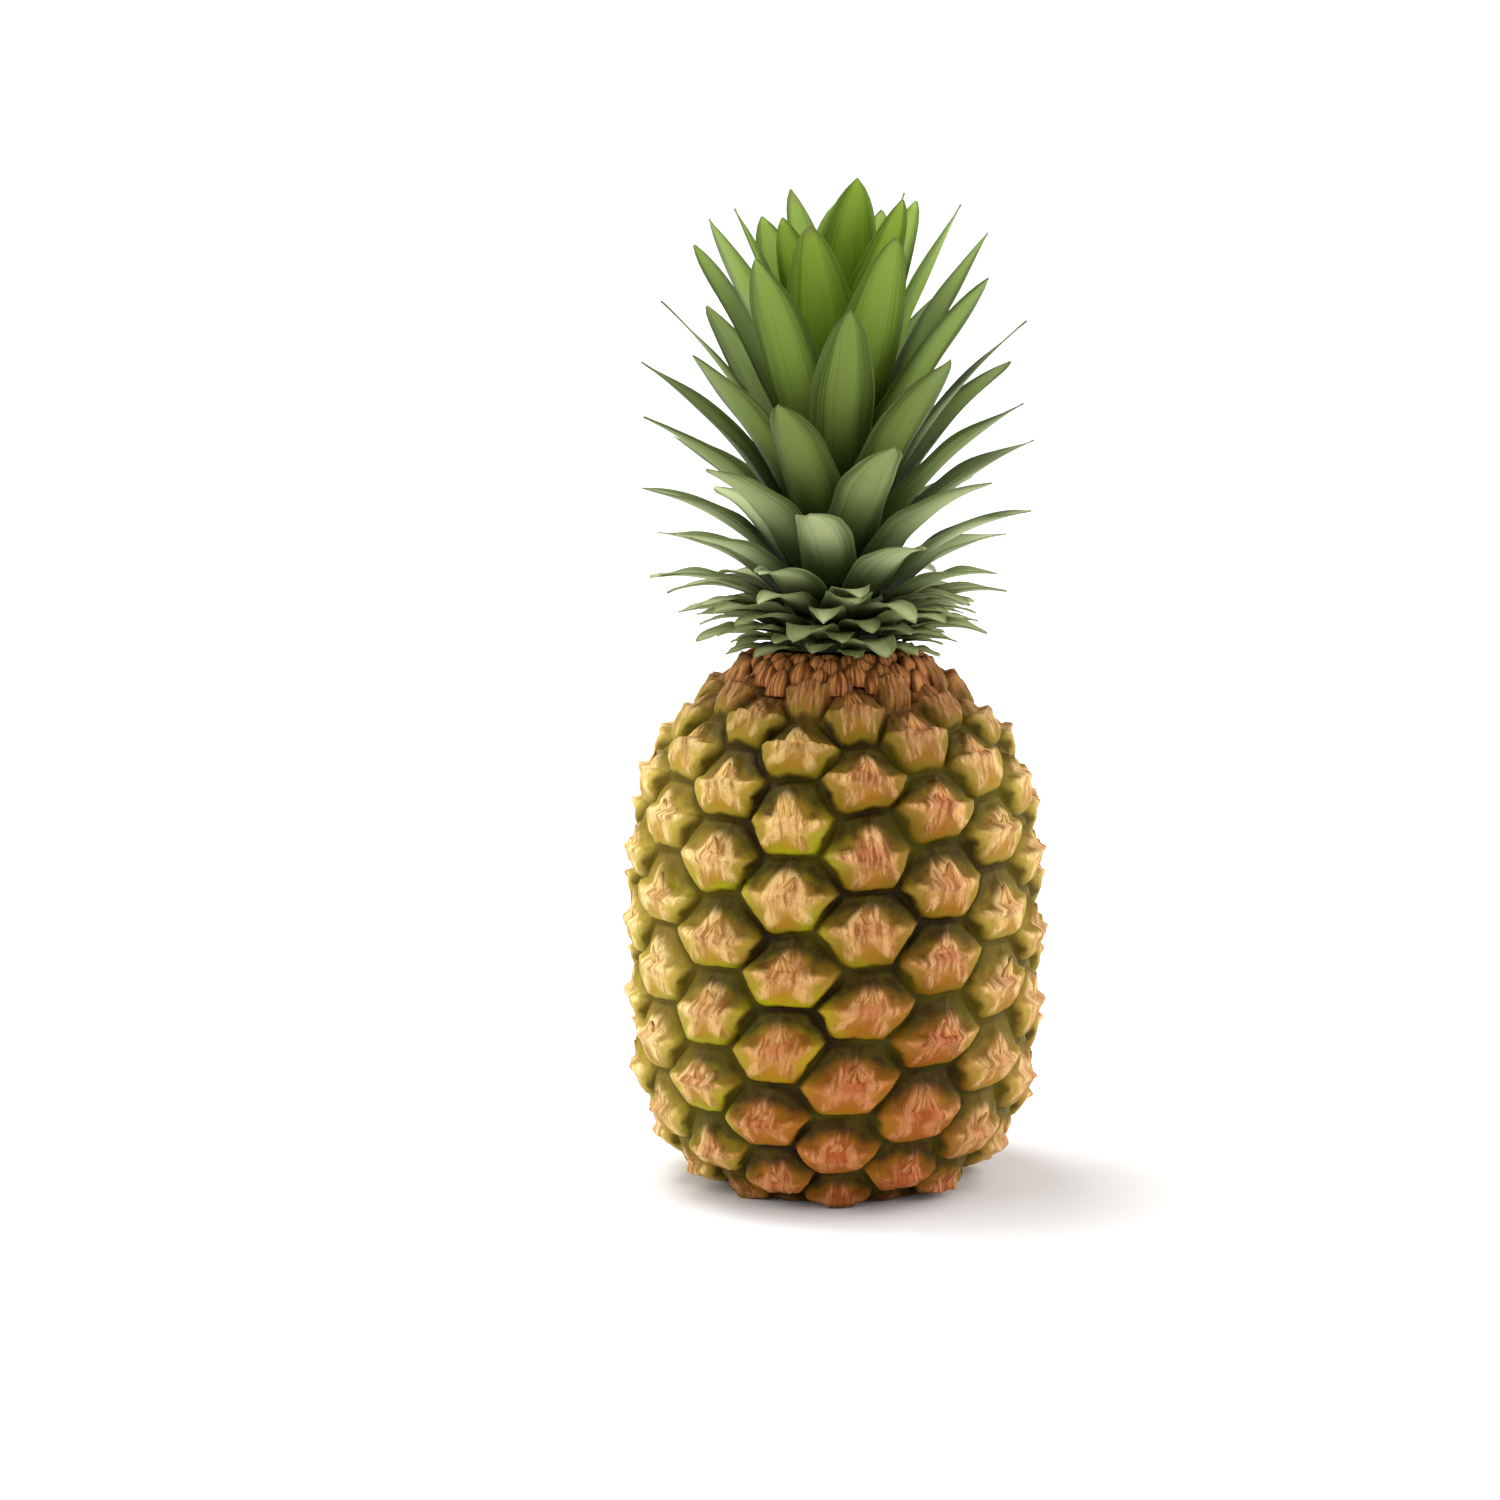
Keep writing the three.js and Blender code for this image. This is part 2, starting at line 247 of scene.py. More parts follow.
def eye_relief(u, v, ring, k):
    """Height of an eye's skin in millimetres; u runs right, v up, ring from 0 to 1 at the edge."""
    swell = mix(0.85, 1.15, seeded(k, 1))
    tip_lean = mix(-0.16, 0.16, seeded(k, 2))
    away = np.hypot(u, v)
    edge = np.maximum(ring, away * 0.93)
    inner = 1.0 - smoothstep(0.82, 0.99, edge)
    dome = 1.1 * (1.0 - ring**2.6)
    groove = -2.8 * smoothstep(0.84, 1.0, edge)
    crest = -0.05 + 0.05 * np.sin(u * 6 + seeded(k, 4) * 6) + 0.10 * np.abs(u)
    skirt = 1.25 * smoothstep(-1.0, -0.2, v) * (1.0 - smoothstep(crest, crest + 0.16, v)) * inner
    pocket = -1.3 * smoothstep(crest, crest + 0.16, v) * inner
    turned = np.arctan2(u, v + 0.1) + mix(-0.2, 0.2, seeded(k, 5))
    reach_out = mix(0.2, 0.86, np.abs(np.cos(2.5 * turned)) ** 1.5)
    star = 0.4 * (1.0 - smoothstep(0.55, 1.1, np.hypot(u, v + 0.1) / reach_out)) * (v < crest)
    reach = np.clip((v + 0.15) / 1.0, 0.0, 1.0)
    half = tip_half_width(reach, mix(0.36, 0.50, seeded(k, 3)))
    off = np.abs(u - tip_lean * reach)
    tongue = 1.0 - smoothstep(half * 0.6, half + 0.08, off)
    tongue = tongue * smoothstep(-0.3, 0.0, v) * (1.0 - smoothstep(0.62, 0.84, v))
    ridges = np.cos((u - tip_lean * reach) * 26.0 + seeded(k, 4) * 6.0) + 0.6 * np.cos(u * 47.0 + k)
    crease = 0.15 * ridges * smoothstep(-0.4, 0.1, v) * (1 - smoothstep(0.55, 0.95, ring))
    step = -0.45 * np.exp(-(((v + 0.06 - 0.06 * np.sin(u * 7 + k)) / 0.05) ** 2))
    step = step * (1 - smoothstep(0.3, 0.55, np.abs(u)))
    folds = 0.15 * np.cos(np.arctan2(u, v + 1.6) * 36.0 + k * 2.0) * (1.0 - smoothstep(-0.3, 0.1, v)) * inner
    brow = -0.7 * smoothstep(0.3, 0.9, v) * inner
    return swell * (dome + skirt + pocket + star + 1.7 * tongue + crease + step + folds + brow) + groove


def eye_range():
    spacing = EYE_PITCH_MM / COLUMNS
    first = math.ceil((FIRST_EYE_ARC - ARC[-1]) / spacing) + RIGHT_STEP
    last = math.floor(FIRST_EYE_ARC / spacing) - RIGHT_STEP
    return range(first, last + 1)


def make_fruit(material):
    bm = bmesh.new()
    place_layer = bm.loops.layers.uv.new("eye_place")
    kind_layer = bm.loops.layers.uv.new("eye_kind")
    grid, ring = eye_grid()
    for eye in eye_range():
        azimuth = FIRST_EYE_AZIMUTH + eye * SPIRAL_ANGLE + grid[..., 0]
        turn = eye + grid[..., 1]
        u, v = grid[..., 0] / EYE_HALF_ANGLE, -grid[..., 1] / EYE_HALF_TURN
        lift = eye_relief(u, v, ring, eye)
        points = skin_point(azimuth, turn, lift)
        place = np.stack([u * 0.5 + 0.5, v * 0.5 + 0.5], axis=-1)
        kind = np.stack([np.full_like(u, seeded(eye, 5)), ring], axis=-1)
        sheet_of_points(bm, points, {place_layer: place, kind_layer: kind})
    bmesh.ops.remove_doubles(bm, verts=bm.verts, dist=1e-5)
    roughen(bm, 0.00022, 260.0)
    close_ends(bm, place_layer, kind_layer)
    return finish_piece("fruit_skin", bm, material, ["fruit"])


def roughen(bm, depth, scale):
    """Small uneven lumps along each vertex's normal."""
    bm.normal_update()
    for vert in bm.verts:
        n = noise.noise(vert.co * scale) + 0.6 * noise.noise(vert.co * scale * 2.3)
        fade = float(relief_share(math.hypot(vert.co.x, vert.co.y) * 1000, vert.co.z * 1000))
        vert.co += vert.normal * (n * depth * fade)
        vert.co.z = max(vert.co.z, 0.0)


def close_ends(bm, place_layer, kind_layer):
    """Draws each ragged end of the skin in to a point: a dished one below, around the stalk."""
    open_edges = [e for e in bm.edges if e.is_boundary]
    for low in (True, False):
        edges = [e for e in open_edges if (e.verts[0].co.z < 0.08) == low]
        floor = 0.0 if low else FRUIT_HEIGHT_MM / 1000.0
        for share, rise in ((0.55, 0.0006), (0.3, 0.002), (0.0, 0.002)):
            made = bmesh.ops.extrude_edge_only(bm, edges=edges)["geom"]
            verts = [g for g in made if isinstance(g, bmesh.types.BMVert)]
            edges = [g for g in made if isinstance(g, bmesh.types.BMEdge)]
            for vert in verts:
                out = Vector((vert.co.x, vert.co.y, 0.0))
                length = share * (SPOT_CORE_MM if low else TOP_CORE_MM) / 1000.0
                flat = out.normalized() * min(length, out.length)
                vert.co = (flat.x, flat.y, floor + (rise if low else 0.0))
            for face in {f for v in verts for f in v.link_faces}:
                for loop in face.loops:
                    loop[place_layer].uv = (0.5, 0.1)
                    loop[kind_layer].uv = (0.5, 0.9)
        bmesh.ops.pointmerge(bm, verts=verts, merge_co=verts[0].co)


def make_bract_tips(material):
    """The dry pointed tip of every eye's bract, standing a little off the skin."""
    bm = bmesh.new()
    blade_layer = bm.loops.layers.uv.new("blade")
    kind_layer = bm.loops.layers.uv.new("kind")
    columns, rows = 5, 7
    side, reach = np.meshgrid(np.linspace(-1, 1, columns), np.linspace(0, 1, rows))
    for eye in eye_range():
        azimuth0 = FIRST_EYE_AZIMUTH + eye * SPIRAL_ANGLE
        height = float(np.interp(FIRST_EYE_ARC - eye * EYE_PITCH_MM / COLUMNS, ARC, HEIGHT))
        if height < 7.0:
            continue
        size = mix(0.6, 1.0, seeded(eye, 6))
        tip_lean = mix(-0.16, 0.16, seeded(eye, 2))
        half = mix(0.34, 0.46, seeded(eye, 3)) * 0.62 * (1.0 - reach**1.3 * 0.96)
        u = side * half + tip_lean * reach
        v = -0.02 + 0.66 * size * reach
        swell = mix(0.8, 1.2, seeded(eye, 1))
        curl = seeded(eye, 7)
        lift = swell * mix(2.2, 1.3, reach) + (0.7 * curl) * reach**2 - 0.5 * side**2 * (1 - 0.5 * reach)
        lift = np.where(reach < 0.01, lift - 1.2, lift)
        azimuth, turn = azimuth0 + u * EYE_HALF_ANGLE, eye - v * EYE_HALF_TURN
        outer = skin_point(azimuth, turn, lift)
        inner = skin_point(azimuth, turn, lift - 0.35)
        layers = {
            blade_layer: np.stack([side * 0.5 + 0.5, reach], axis=-1),
            kind_layer: flat_values(u, seeded(eye, 5), height / FRUIT_HEIGHT_MM),
        }
        closed_blade(bm, outer, inner, layers)
    return finish_piece("bract_tips", bm, material, outward=False)


def make_neck_bracts(material):
    """Small brown pointed bracts lying up the neck, crowded under the crown."""
    bm = bmesh.new()
    blade_layer = bm.loops.layers.uv.new("blade")
    kind_layer = bm.loops.layers.uv.new("kind")
    side, reach = np.meshgrid(np.linspace(-1, 1, 5), np.linspace(0, 1, 8))
    for k in range(NECK_BRACTS):
        share = k / (NECK_BRACTS - 1)
        turn0 = (FIRST_EYE_ARC - mix(ARC[-1] - 23.0, ARC[-1] - 8.0, share)) * COLUMNS / EYE_PITCH_MM
        azimuth0 = k * GOLDEN_ANGLE + 8.0 * seeded(k, 20)
        radius = mix(32.0, 20.0, share)
        length = mix(8.5, 6.5, share) * mix(0.85, 1.2, seeded(k, 21))
        half = mix(4.4, 3.2, share) * mix(0.8, 1.15, seeded(k, 22)) * (1.0 - 0.94 * reach**3.2)
        azimuth = azimuth0 + np.degrees(side * half / radius) + 3.0 * (seeded(k, 23) - 0.5) * reach
        turn = turn0 - length * reach * COLUMNS / EYE_PITCH_MM
        lift = 0.3 + 2.1 * np.sin(reach * 2.7) + 0.5 * seeded(k, 24) * reach**2 - 1.2 * side**2
        lift = np.where(reach < 0.01, -0.6, lift)
        layers = {
            blade_layer: np.stack([side * 0.5 + 0.5, reach], axis=-1),
            kind_layer: flat_values(side, seeded(k, 25), 0.93),
        }
        closed_blade(bm, skin_point(azimuth, turn, lift), skin_point(azimuth, turn, lift - 0.5), layers)
    return finish_piece("neck_bracts", bm, material, outward=False)


def closed_blade(bm, outer, inner, layers):
    """A thin closed blade between two grids of points."""
    front = sheet_of_points(bm, outer, layers)
    back = sheet_of_points(bm, inner, layers)
    rim = [e for e in {e for f in front + back for e in f.edges} if e.is_boundary]
    made = bmesh.ops.bridge_loops(bm, edges=rim)
    for layer, values in layers.items():
        middle = values.reshape(-1, 2)[len(values.reshape(-1, 2)) // 2]
        for face in made["faces"]:
            for loop in face.loops:
                near = next((l for l in loop.vert.link_loops if l.face not in made["faces"]), None)
                loop[layer].uv = near[layer].uv if near else middle
    bmesh.ops.recalc_face_normals(bm, faces=front + back + made["faces"])


def make_stalk(material):
    """The cut end of the fruit's stalk, in the middle of the underside."""
    bm = bmesh.new()
    layer = bm.loops.layers.uv.new("stalk")
    # Radius and height of each ring, from the middle of the cut out to its rim and up inside the fruit.
    rings = [(0.0, 0.3), (3.0, 0.2), (6.0, 0.1), (8.5, 0.3), (10.5, -0.1)]
    rings += [(11.6, 0.4), (11.9, 1.4), (11.4, 3.6), (0.0, 3.6)]
    around = np.linspace(0, 2 * math.pi, 49)
    points = np.zeros((len(rings), len(around), 3))
    uv = np.zeros((len(rings), len(around), 2))
    for j, (radius, height) in enumerate(rings):
        wobble = 1.0 + 0.05 * np.sin(around * 5 + 1.0) + 0.03 * np.sin(around * 11)
        points[j, :, 0] = radius * wobble * np.sin(around)
        points[j, :, 1] = radius * wobble * np.cos(around)
        points[j, :, 2] = height + 0.15 * np.sin(around * 7 + j * 2.0) * (0 < radius < 11)
        uv[j, :, 0] = around / (2 * math.pi)
        uv[j, :, 1] = min(radius / 12.0 + (height > 0.9) * 0.1, 1.0)
    points[..., 2] = np.maximum(points[..., 2], 0.05)
    sheet_of_points(bm, points / 1000.0, {layer: uv})
    bmesh.ops.remove_doubles(bm, verts=bm.verts, dist=1e-6)
    return finish_piece("stalk_scar", bm, material)


# ------------------------------------------------------------------ the crown


def stem_radius(height):
    share = np.clip(height, 0, STEM_HEIGHT_MM) / STEM_HEIGHT_MM
    return mix(STEM_FOOT_RADIUS_MM, STEM_TOP_RADIUS_MM, share**0.85)


def leaf_shape(index):
    """What one leaf is like, from the lowest (0) to the highest (LEAVES - 1). Lengths in millimetres."""
    f = index / (LEAVES - 1)
    foot = LOWEST_LEAF_MM + LEAF_RISE_MM * f**1.12
    vary = math.sin(index * 2.4) * 0.5 + math.sin(index * 5.1) * 0.5
    length = (26 + 88 * f**1.25 - 27 * float(smoothstep(0.78, 1, f))) * (1 + 0.05 * vary)
    middle = 1 + 81 * f**1.05
    bend = mix(24, 9, f)
    thickness = mix(1.3, 0.5, f)
    lower_width = mix(6.4, 9.0, float(smoothstep(0, 0.6, f)))
    wider = mix(1.08, 1.3, float(smoothstep(0.6, 1, f)))
    return {
        "f": f,
        "foot": foot,
        "length": length,
        "azimuth": FIRST_LEAF_AZIMUTH + index * GOLDEN_ANGLE,
        "thickness": thickness,
        "nested": float(smoothstep(0.55, 0.85, f)),
        "foot_angle": math.radians(middle + bend),
        "tip_angle": math.radians(middle - bend + 2 * vary),
        "half_width": lower_width * wider,
        "foot_wrap": mix(0.85, 0.55, f),
        "foot_radius": float(stem_radius(foot)) + 0.3 + thickness,
        "seed": seeded(index, 8),
    }


def blade_points(leaf, columns, rows, under):
    """The upper or under face of a leaf, in metres, as rows from foot to tip."""
    side, t = np.meshgrid(np.linspace(-1, 1, columns), np.linspace(0, 1, rows) ** 0.9)
    seed = leaf["seed"]
    bend = leaf["foot_angle"] - leaf["tip_angle"]
    angle = leaf["foot_angle"] - bend * t
    along = leaf["length"] / bend * (math.sin(leaf["foot_angle"]) - np.sin(angle))
    up = leaf["length"] / bend * (np.cos(angle) - math.cos(leaf["foot_angle"]))
    widest = mix(0.26, 0.42, leaf["nested"])
    foot_share = min(0.85, leaf["foot_wrap"] * leaf["foot_radius"] / leaf["half_width"])
    rising = mix(foot_share, 1.0, smoothstep(0, widest, t))
    falling = np.maximum(1 - (np.maximum(t - widest, 0) / (1 - widest)) ** 2.7, 0) ** 0.75
    half = np.maximum(np.where(t < widest, rising, falling) * leaf["half_width"], 0.3)
    half = half * (1 + 0.025 * np.sin(t * 19 + seed * 30) * smoothstep(0.1, 0.4, t))
    clasp = leaf["foot_radius"] / max(math.sin(leaf["foot_angle"]), 0.3)
    wrap = (leaf["foot_radius"] + along) / np.maximum(np.sin(angle), 0.3)
    trough = mix(clasp, mix(11.0, wrap, leaf["nested"]), smoothstep(0, 0.5, t))
    trough = trough * (1 + 0.4 * leaf["nested"] * t)
    turn = side * np.minimum(half / trough, FULLEST_WRAP)
    edge = mix(1.0, 0.3, np.abs(side) ** 1.5)
    thickness = mix(leaf["thickness"], 0.4, t) * edge
    depth = trough * (1 - np.cos(turn)) + (-0.5 if under else 0.5) * thickness
    across = trough * np.sin(turn)
    sway = (seed - 0.5) * 0.09 * leaf["length"] * t**2
    ripple = 0.35 * np.sin(t * 13 + side * 2 + seed * 20) * np.abs(side) * smoothstep(0.1, 0.5, t)
    depth = depth + ripple
    outward = leaf["foot_radius"] + along - np.sin(angle) * depth
    a = math.radians(leaf["azimuth"])
    # The leaf's own +X turns to its azimuth, and its +Y to the left of that.
    out, left = np.array([math.sin(a), -math.cos(a), 0.0]), np.array([math.cos(a), math.sin(a), 0.0])
    placed = outward[..., None] * out + (across + sway)[..., None] * left
    placed[..., 2] += up + np.cos(angle) * depth + STEM_FOOT_MM + leaf["foot"]
    uv = np.stack([side * 0.5 + 0.5, t], axis=-1)
    return placed / 1000.0, uv, flat_values(t, seed, leaf["f"])


def add_leaf(bm, leaf, columns=9, rows=26):
    blade_layer = bm.loops.layers.uv["blade"]
    kind_layer = bm.loops.layers.uv["kind"]
    upper, uv, kind = blade_points(leaf, columns, rows, False)
    under, _, _ = blade_points(leaf, columns, rows, True)
    closed_blade(bm, upper, under, {blade_layer: uv, kind_layer: kind})


def leaf_bmesh():
    bm = bmesh.new()
    bm.loops.layers.uv.new("blade")
    bm.loops.layers.uv.new("kind")
    return bm


def make_leaves(material):
    for index in range(COLLAR_LEAVES, LEAVES):
        bm = leaf_bmesh()
        add_leaf(bm, leaf_shape(index))
        number = f"{index - COLLAR_LEAVES + 1:02d}"
        finish_piece("blade_" + number, bm, material, ["leaf_" + number], outward=False)


def make_collar(material):
    """The smallest leaves, and below them a fringe of short dry ones that lie out over the fruit."""
    bm = leaf_bmesh()
    for index in range(COLLAR_LEAVES):
        add_leaf(bm, leaf_shape(index), 7, 18)
    finish_piece("collar_leaves", bm, material, ["crown_collar"], outward=False)
    bm = leaf_bmesh()
    for index in range(FRINGE_LEAVES):
        share = index / (FRINGE_LEAVES - 1)
        leaf = leaf_shape(0)
        leaf["seed"] = seeded(index, 9)
        leaf["f"] = 0.0
        leaf["foot"] = mix(0.2, 11.0, share)
        leaf["length"] = mix(14.0, 42.0, share**1.4) * mix(0.75, 1.12, seeded(index, 10))
        leaf["azimuth"] = 63 - index * GOLDEN_ANGLE
        leaf["foot_radius"] = float(stem_radius(leaf["foot"])) + 0.3 + 1.2 * seeded(index, 11)
        leaf["foot_angle"] = math.radians(mix(4, 40, share))
        leaf["tip_angle"] = math.radians(mix(-28, -6, seeded(index, 12)))
        leaf["half_width"] = mix(3.8, 6.0, share)
        add_leaf(bm, leaf, 7, 12)
    finish_piece("collar_fringe", bm, material, outward=False)


def make_heart(material):
    """The youngest leaves, standing close together on the stem's top."""
    bm = leaf_bmesh()
    for index in range(HEART_LEAVES):
        share = index / (HEART_LEAVES - 1)
        leaf = leaf_shape(LEAVES - 1)
        leaf["seed"] = seeded(index, 13)
        leaf["foot"] = mix(48, 56.5, share)
        leaf["length"] = mix(74, 46, share) * mix(0.93, 1.05, seeded(index, 14))
        leaf["azimuth"] = FIRST_LEAF_AZIMUTH + (LEAVES + index) * GOLDEN_ANGLE
        leaf["foot_radius"] = mix(3.0, 1.2, share)
        leaf["foot_angle"] = math.radians(90)
        leaf["tip_angle"] = math.radians(mix(79, 86, share))
        leaf["half_width"] = mix(7.5, 4.5, share)
        leaf["thickness"] = 0.4
        add_leaf(bm, leaf, 7, 20)
    finish_piece("crown_heart_leaves", bm, material, ["crown_heart"], outward=False)


# ------------------------------------------------------------------ shader nodes


class Net:
    """Short names for adding nodes to a node tree. A value is a socket or a constant."""

    def __init__(self, tree):
        self.tree = tree

    def node(self, kind, **settings):
        n = self.tree.nodes.new(kind)
        for key, value in settings.items():
            setattr(n, key, value)
        return n

    def put(self, socket, value):
        if isinstance(value, bpy.types.NodeSocket):
            self.tree.links.new(value, socket)
        elif value is not None:
            socket.default_value = value

    def math(self, operation, a, b=None, c=None, clamp=False):
        n = self.node("ShaderNodeMath", operation=operation, use_clamp=clamp)
        for socket, value in zip(n.inputs, (a, b, c)):
            self.put(socket, value)
        return n.outputs[0]

    def add(self, a, b):
        return self.math("ADD", a, b)

    def sub(self, a, b):
        return self.math("SUBTRACT", a, b)

    def mul(self, a, b):
        return self.math("MULTIPLY", a, b)

    def fall(self, x, low, high, start=0.0, end=1.0):
        """start where x is at low, end where it is at high, smooth between."""
        n = self.node("ShaderNodeMapRange", interpolation_type="SMOOTHSTEP")
        for socket, value in zip(n.inputs, (x, low, high, start, end)):
            self.put(socket, value)
        return n.outputs[0]

    def blend(self, factor, a, b, how="MIX"):
        n = self.node("ShaderNodeMix", data_type="RGBA", blend_type=how)
        self.put(n.inputs[0], factor)
        self.put(n.inputs[6], a)
        self.put(n.inputs[7], b)
        return n.outputs[2]

    def split(self, vector):
        n = self.node("ShaderNodeSeparateXYZ")
        self.put(n.inputs[0], vector)
        return n.outputs

    def join(self, x, y, z=0.0):
        n = self.node("ShaderNodeCombineXYZ")
        for socket, value in zip(n.inputs, (x, y, z)):
            self.put(socket, value)
        return n.outputs[0]

    def scale(self, vector, by):
        n = self.node("ShaderNodeVectorMath", operation="MULTIPLY")
        self.put(n.inputs[0], vector)
        self.put(n.inputs[1], by)
        return n.outputs[0]

    def noise(self, vector, scale, detail=3.0, roughness=0.55, distortion=0.0):
        n = self.node("ShaderNodeTexNoise")
        self.put(n.inputs["Vector"], vector)
        self.put(n.inputs["Scale"], scale)
        self.put(n.inputs["Detail"], detail)
        self.put(n.inputs["Roughness"], roughness)
        self.put(n.inputs["Distortion"], distortion)
        return n.outputs[0]

    def object_place(self):
        return self.node("ShaderNodeTexCoord").outputs["Object"]

    def uv(self, name):
        return self.node("ShaderNodeUVMap", uv_map=name).outputs[0]


def srgb(r, g, b):
    """A display colour as the linear one that a socket takes."""
    return (*(((c / 255 + 0.055) / 1.055) ** 2.4 if c > 10 else c / 255 / 12.92 for c in (r, g, b)), 1.0)


def new_group(name, inputs, outputs):
    """A shader group, its net, and its input sockets by name. Inputs and outputs map names to kinds."""
    tree = bpy.data.node_groups.new(name, "ShaderNodeTree")
    kinds = {"value": "NodeSocketFloat", "colour": "NodeSocketColor", "vector": "NodeSocketVector"}
    for label, kind in inputs.items():
        tree.interface.new_socket(label, in_out="INPUT", socket_type=kinds[kind])
    for label, kind in outputs.items():
        tree.interface.new_socket(label, in_out="OUTPUT", socket_type=kinds[kind])
    net = Net(tree)
    into = net.node("NodeGroupInput")
    out = net.node("NodeGroupOutput")
    return tree, net, into.outputs, out.inputs


def use_group(net, tree, **values):
    n = net.node("ShaderNodeGroup", node_tree=tree)
    for label, value in values.items():
        net.put(n.inputs[label.replace("_", " ")], value)
    return n.outputs


def new_material(name):
    """A material, its net and its shader."""
    material = bpy.data.materials.new(name)
    material.use_nodes = True
    return material, Net(material.node_tree), material.node_tree.nodes["Principled BSDF"]


def put_bump(net, shader, strength, distance, height):
    """Fine relief on a shader, from a height that changes over the surface."""
    bump = net.node("ShaderNodeBump")
    for label, value in (("Strength", strength), ("Distance", distance), ("Height", height)):
        net.put(bump.inputs[label], value)
    net.put(shader.inputs["Normal"], bump.outputs[0])


def eye_pattern_group():
    """Masks of the parts of an eye, such as its five-pointed star, skirt, upright tip and the arch above it,
    which is partly dark olive and partly painted shade.

    Place runs from 0 to 1 across the eye and up it, and Ring from 0 at its centre to 1 at its edge.
    """
    outputs = ("Star", "Skirt", "Tip", "Upper", "Border", "Groove", "ArchTintAndShade", "Streak", "Core", "Notch")
    tree, n, i, o = new_group(
        "eye_pattern",
        {"Place": "vector", "Seed": "value", "Ring": "value", "Wobble": "value"},
        dict.fromkeys(outputs, "value"),
    )
    x, y, _ = n.split(i["Place"])
    u = n.math("MULTIPLY_ADD", x, 2.0, -1.0)
    v_plain = n.math("MULTIPLY_ADD", y, 2.0, -1.0)
    shake = n.mul(n.sub(i["Wobble"], 0.5), 0.34)
    v = n.add(v_plain, shake)
    lean = n.math("MULTIPLY_ADD", i["Seed"], 0.3, -0.15)
    reach = n.math("ADD", v, 0.15, clamp=True)
    off = n.math("ABSOLUTE", n.sub(n.add(u, n.mul(shake, 0.5)), n.mul(lean, reach)))
    half = n.math("MULTIPLY_ADD", n.math("POWER", n.sub(1.0, reach), 1.15), 0.44, 0.05)
    tip = n.mul(n.fall(n.sub(half, off), -0.07, 0.06), n.fall(v, -0.35, -0.05))
    width = n.math("ABSOLUTE", u)
    upper = n.fall(n.sub(v, n.mul(width, 0.10)), -0.10, 0.04)
    sides = n.fall(n.sub(width, n.mul(v, 0.42)), 1.02, 0.74)
    skirt = n.mul(n.mul(n.sub(1.0, upper), n.fall(v, -0.72, -0.12)), sides)
    # The star: its reach out from the centre goes up and down five times around.
    low = n.add(v, 0.1)
    out = n.math("SQRT", n.add(n.mul(u, u), n.mul(low, low)))
    turned = n.add(n.math("ARCTAN2", u, low), n.math("MULTIPLY_ADD", i["Seed"], 0.4, -0.2))
    points = n.math("ABSOLUTE", n.math("COSINE", n.mul(turned, 2.5)))
    limit = n.math("MULTIPLY_ADD", n.math("POWER", points, 1.8), 0.62, 0.16)
    star = n.mul(n.fall(n.sub(out, limit), 0.10, -0.16), n.sub(1.0, upper))
    length = n.math("SQRT", n.add(n.mul(u, u), n.mul(v_plain, v_plain)))
    edge = n.add(n.math("MAXIMUM", i["Ring"], n.mul(length, 0.94)), n.mul(shake, 0.25))
    between = n.mul(n.sub(1.0, points), n.fall(length, 0.25, 0.6))
    border = n.fall(n.math("MULTIPLY_ADD", between, 0.26, edge), 0.66, 0.88)
    groove = n.fall(n.math("MULTIPLY_ADD", between, 0.08, edge), 0.88, 0.98)
    # The top of the eye under the overlapping eye above, darkened partly as its own olive colour and partly
    # as painted shade.
    arch_tint_and_shade = n.mul(n.fall(v, -0.05, 0.45), n.fall(edge, 0.42, 0.78))
    streak = n.noise(n.join(n.mul(u, 8.0), n.mul(v, 1.4), n.mul(i["Seed"], 40.0)), 1.0, 4.0, 0.65)
    core = n.mul(n.fall(length, 0.40, 0.08), n.fall(streak, 0.3, 0.6))
    notch = n.mul(n.fall(width, 0.34, 0.1), n.mul(n.fall(v, -0.2, -0.42), n.fall(v, -0.86, -0.66)))
    values = (star, skirt, tip, upper, border, groove, arch_tint_and_shade, streak, core, notch)
    for label, value in zip(outputs, values):
        n.put(o[label], value)
    return tree


def grain_group():
    """Fine uneven grain of plant skin at three sizes, from 0 to 1."""
    outputs = ("Coarse", "Middle", "Fine")
    tree, n, i, o = new_group("skin_grain", {"Place": "vector"}, dict.fromkeys(outputs, "value"))
    n.put(o["Coarse"], n.noise(i["Place"], 38.0, 3.0, 0.5))
    n.put(o["Middle"], n.noise(i["Place"], 210.0, 4.0, 0.6))
    n.put(o["Fine"], n.noise(i["Place"], 1100.0, 3.0, 0.6))
    return tree


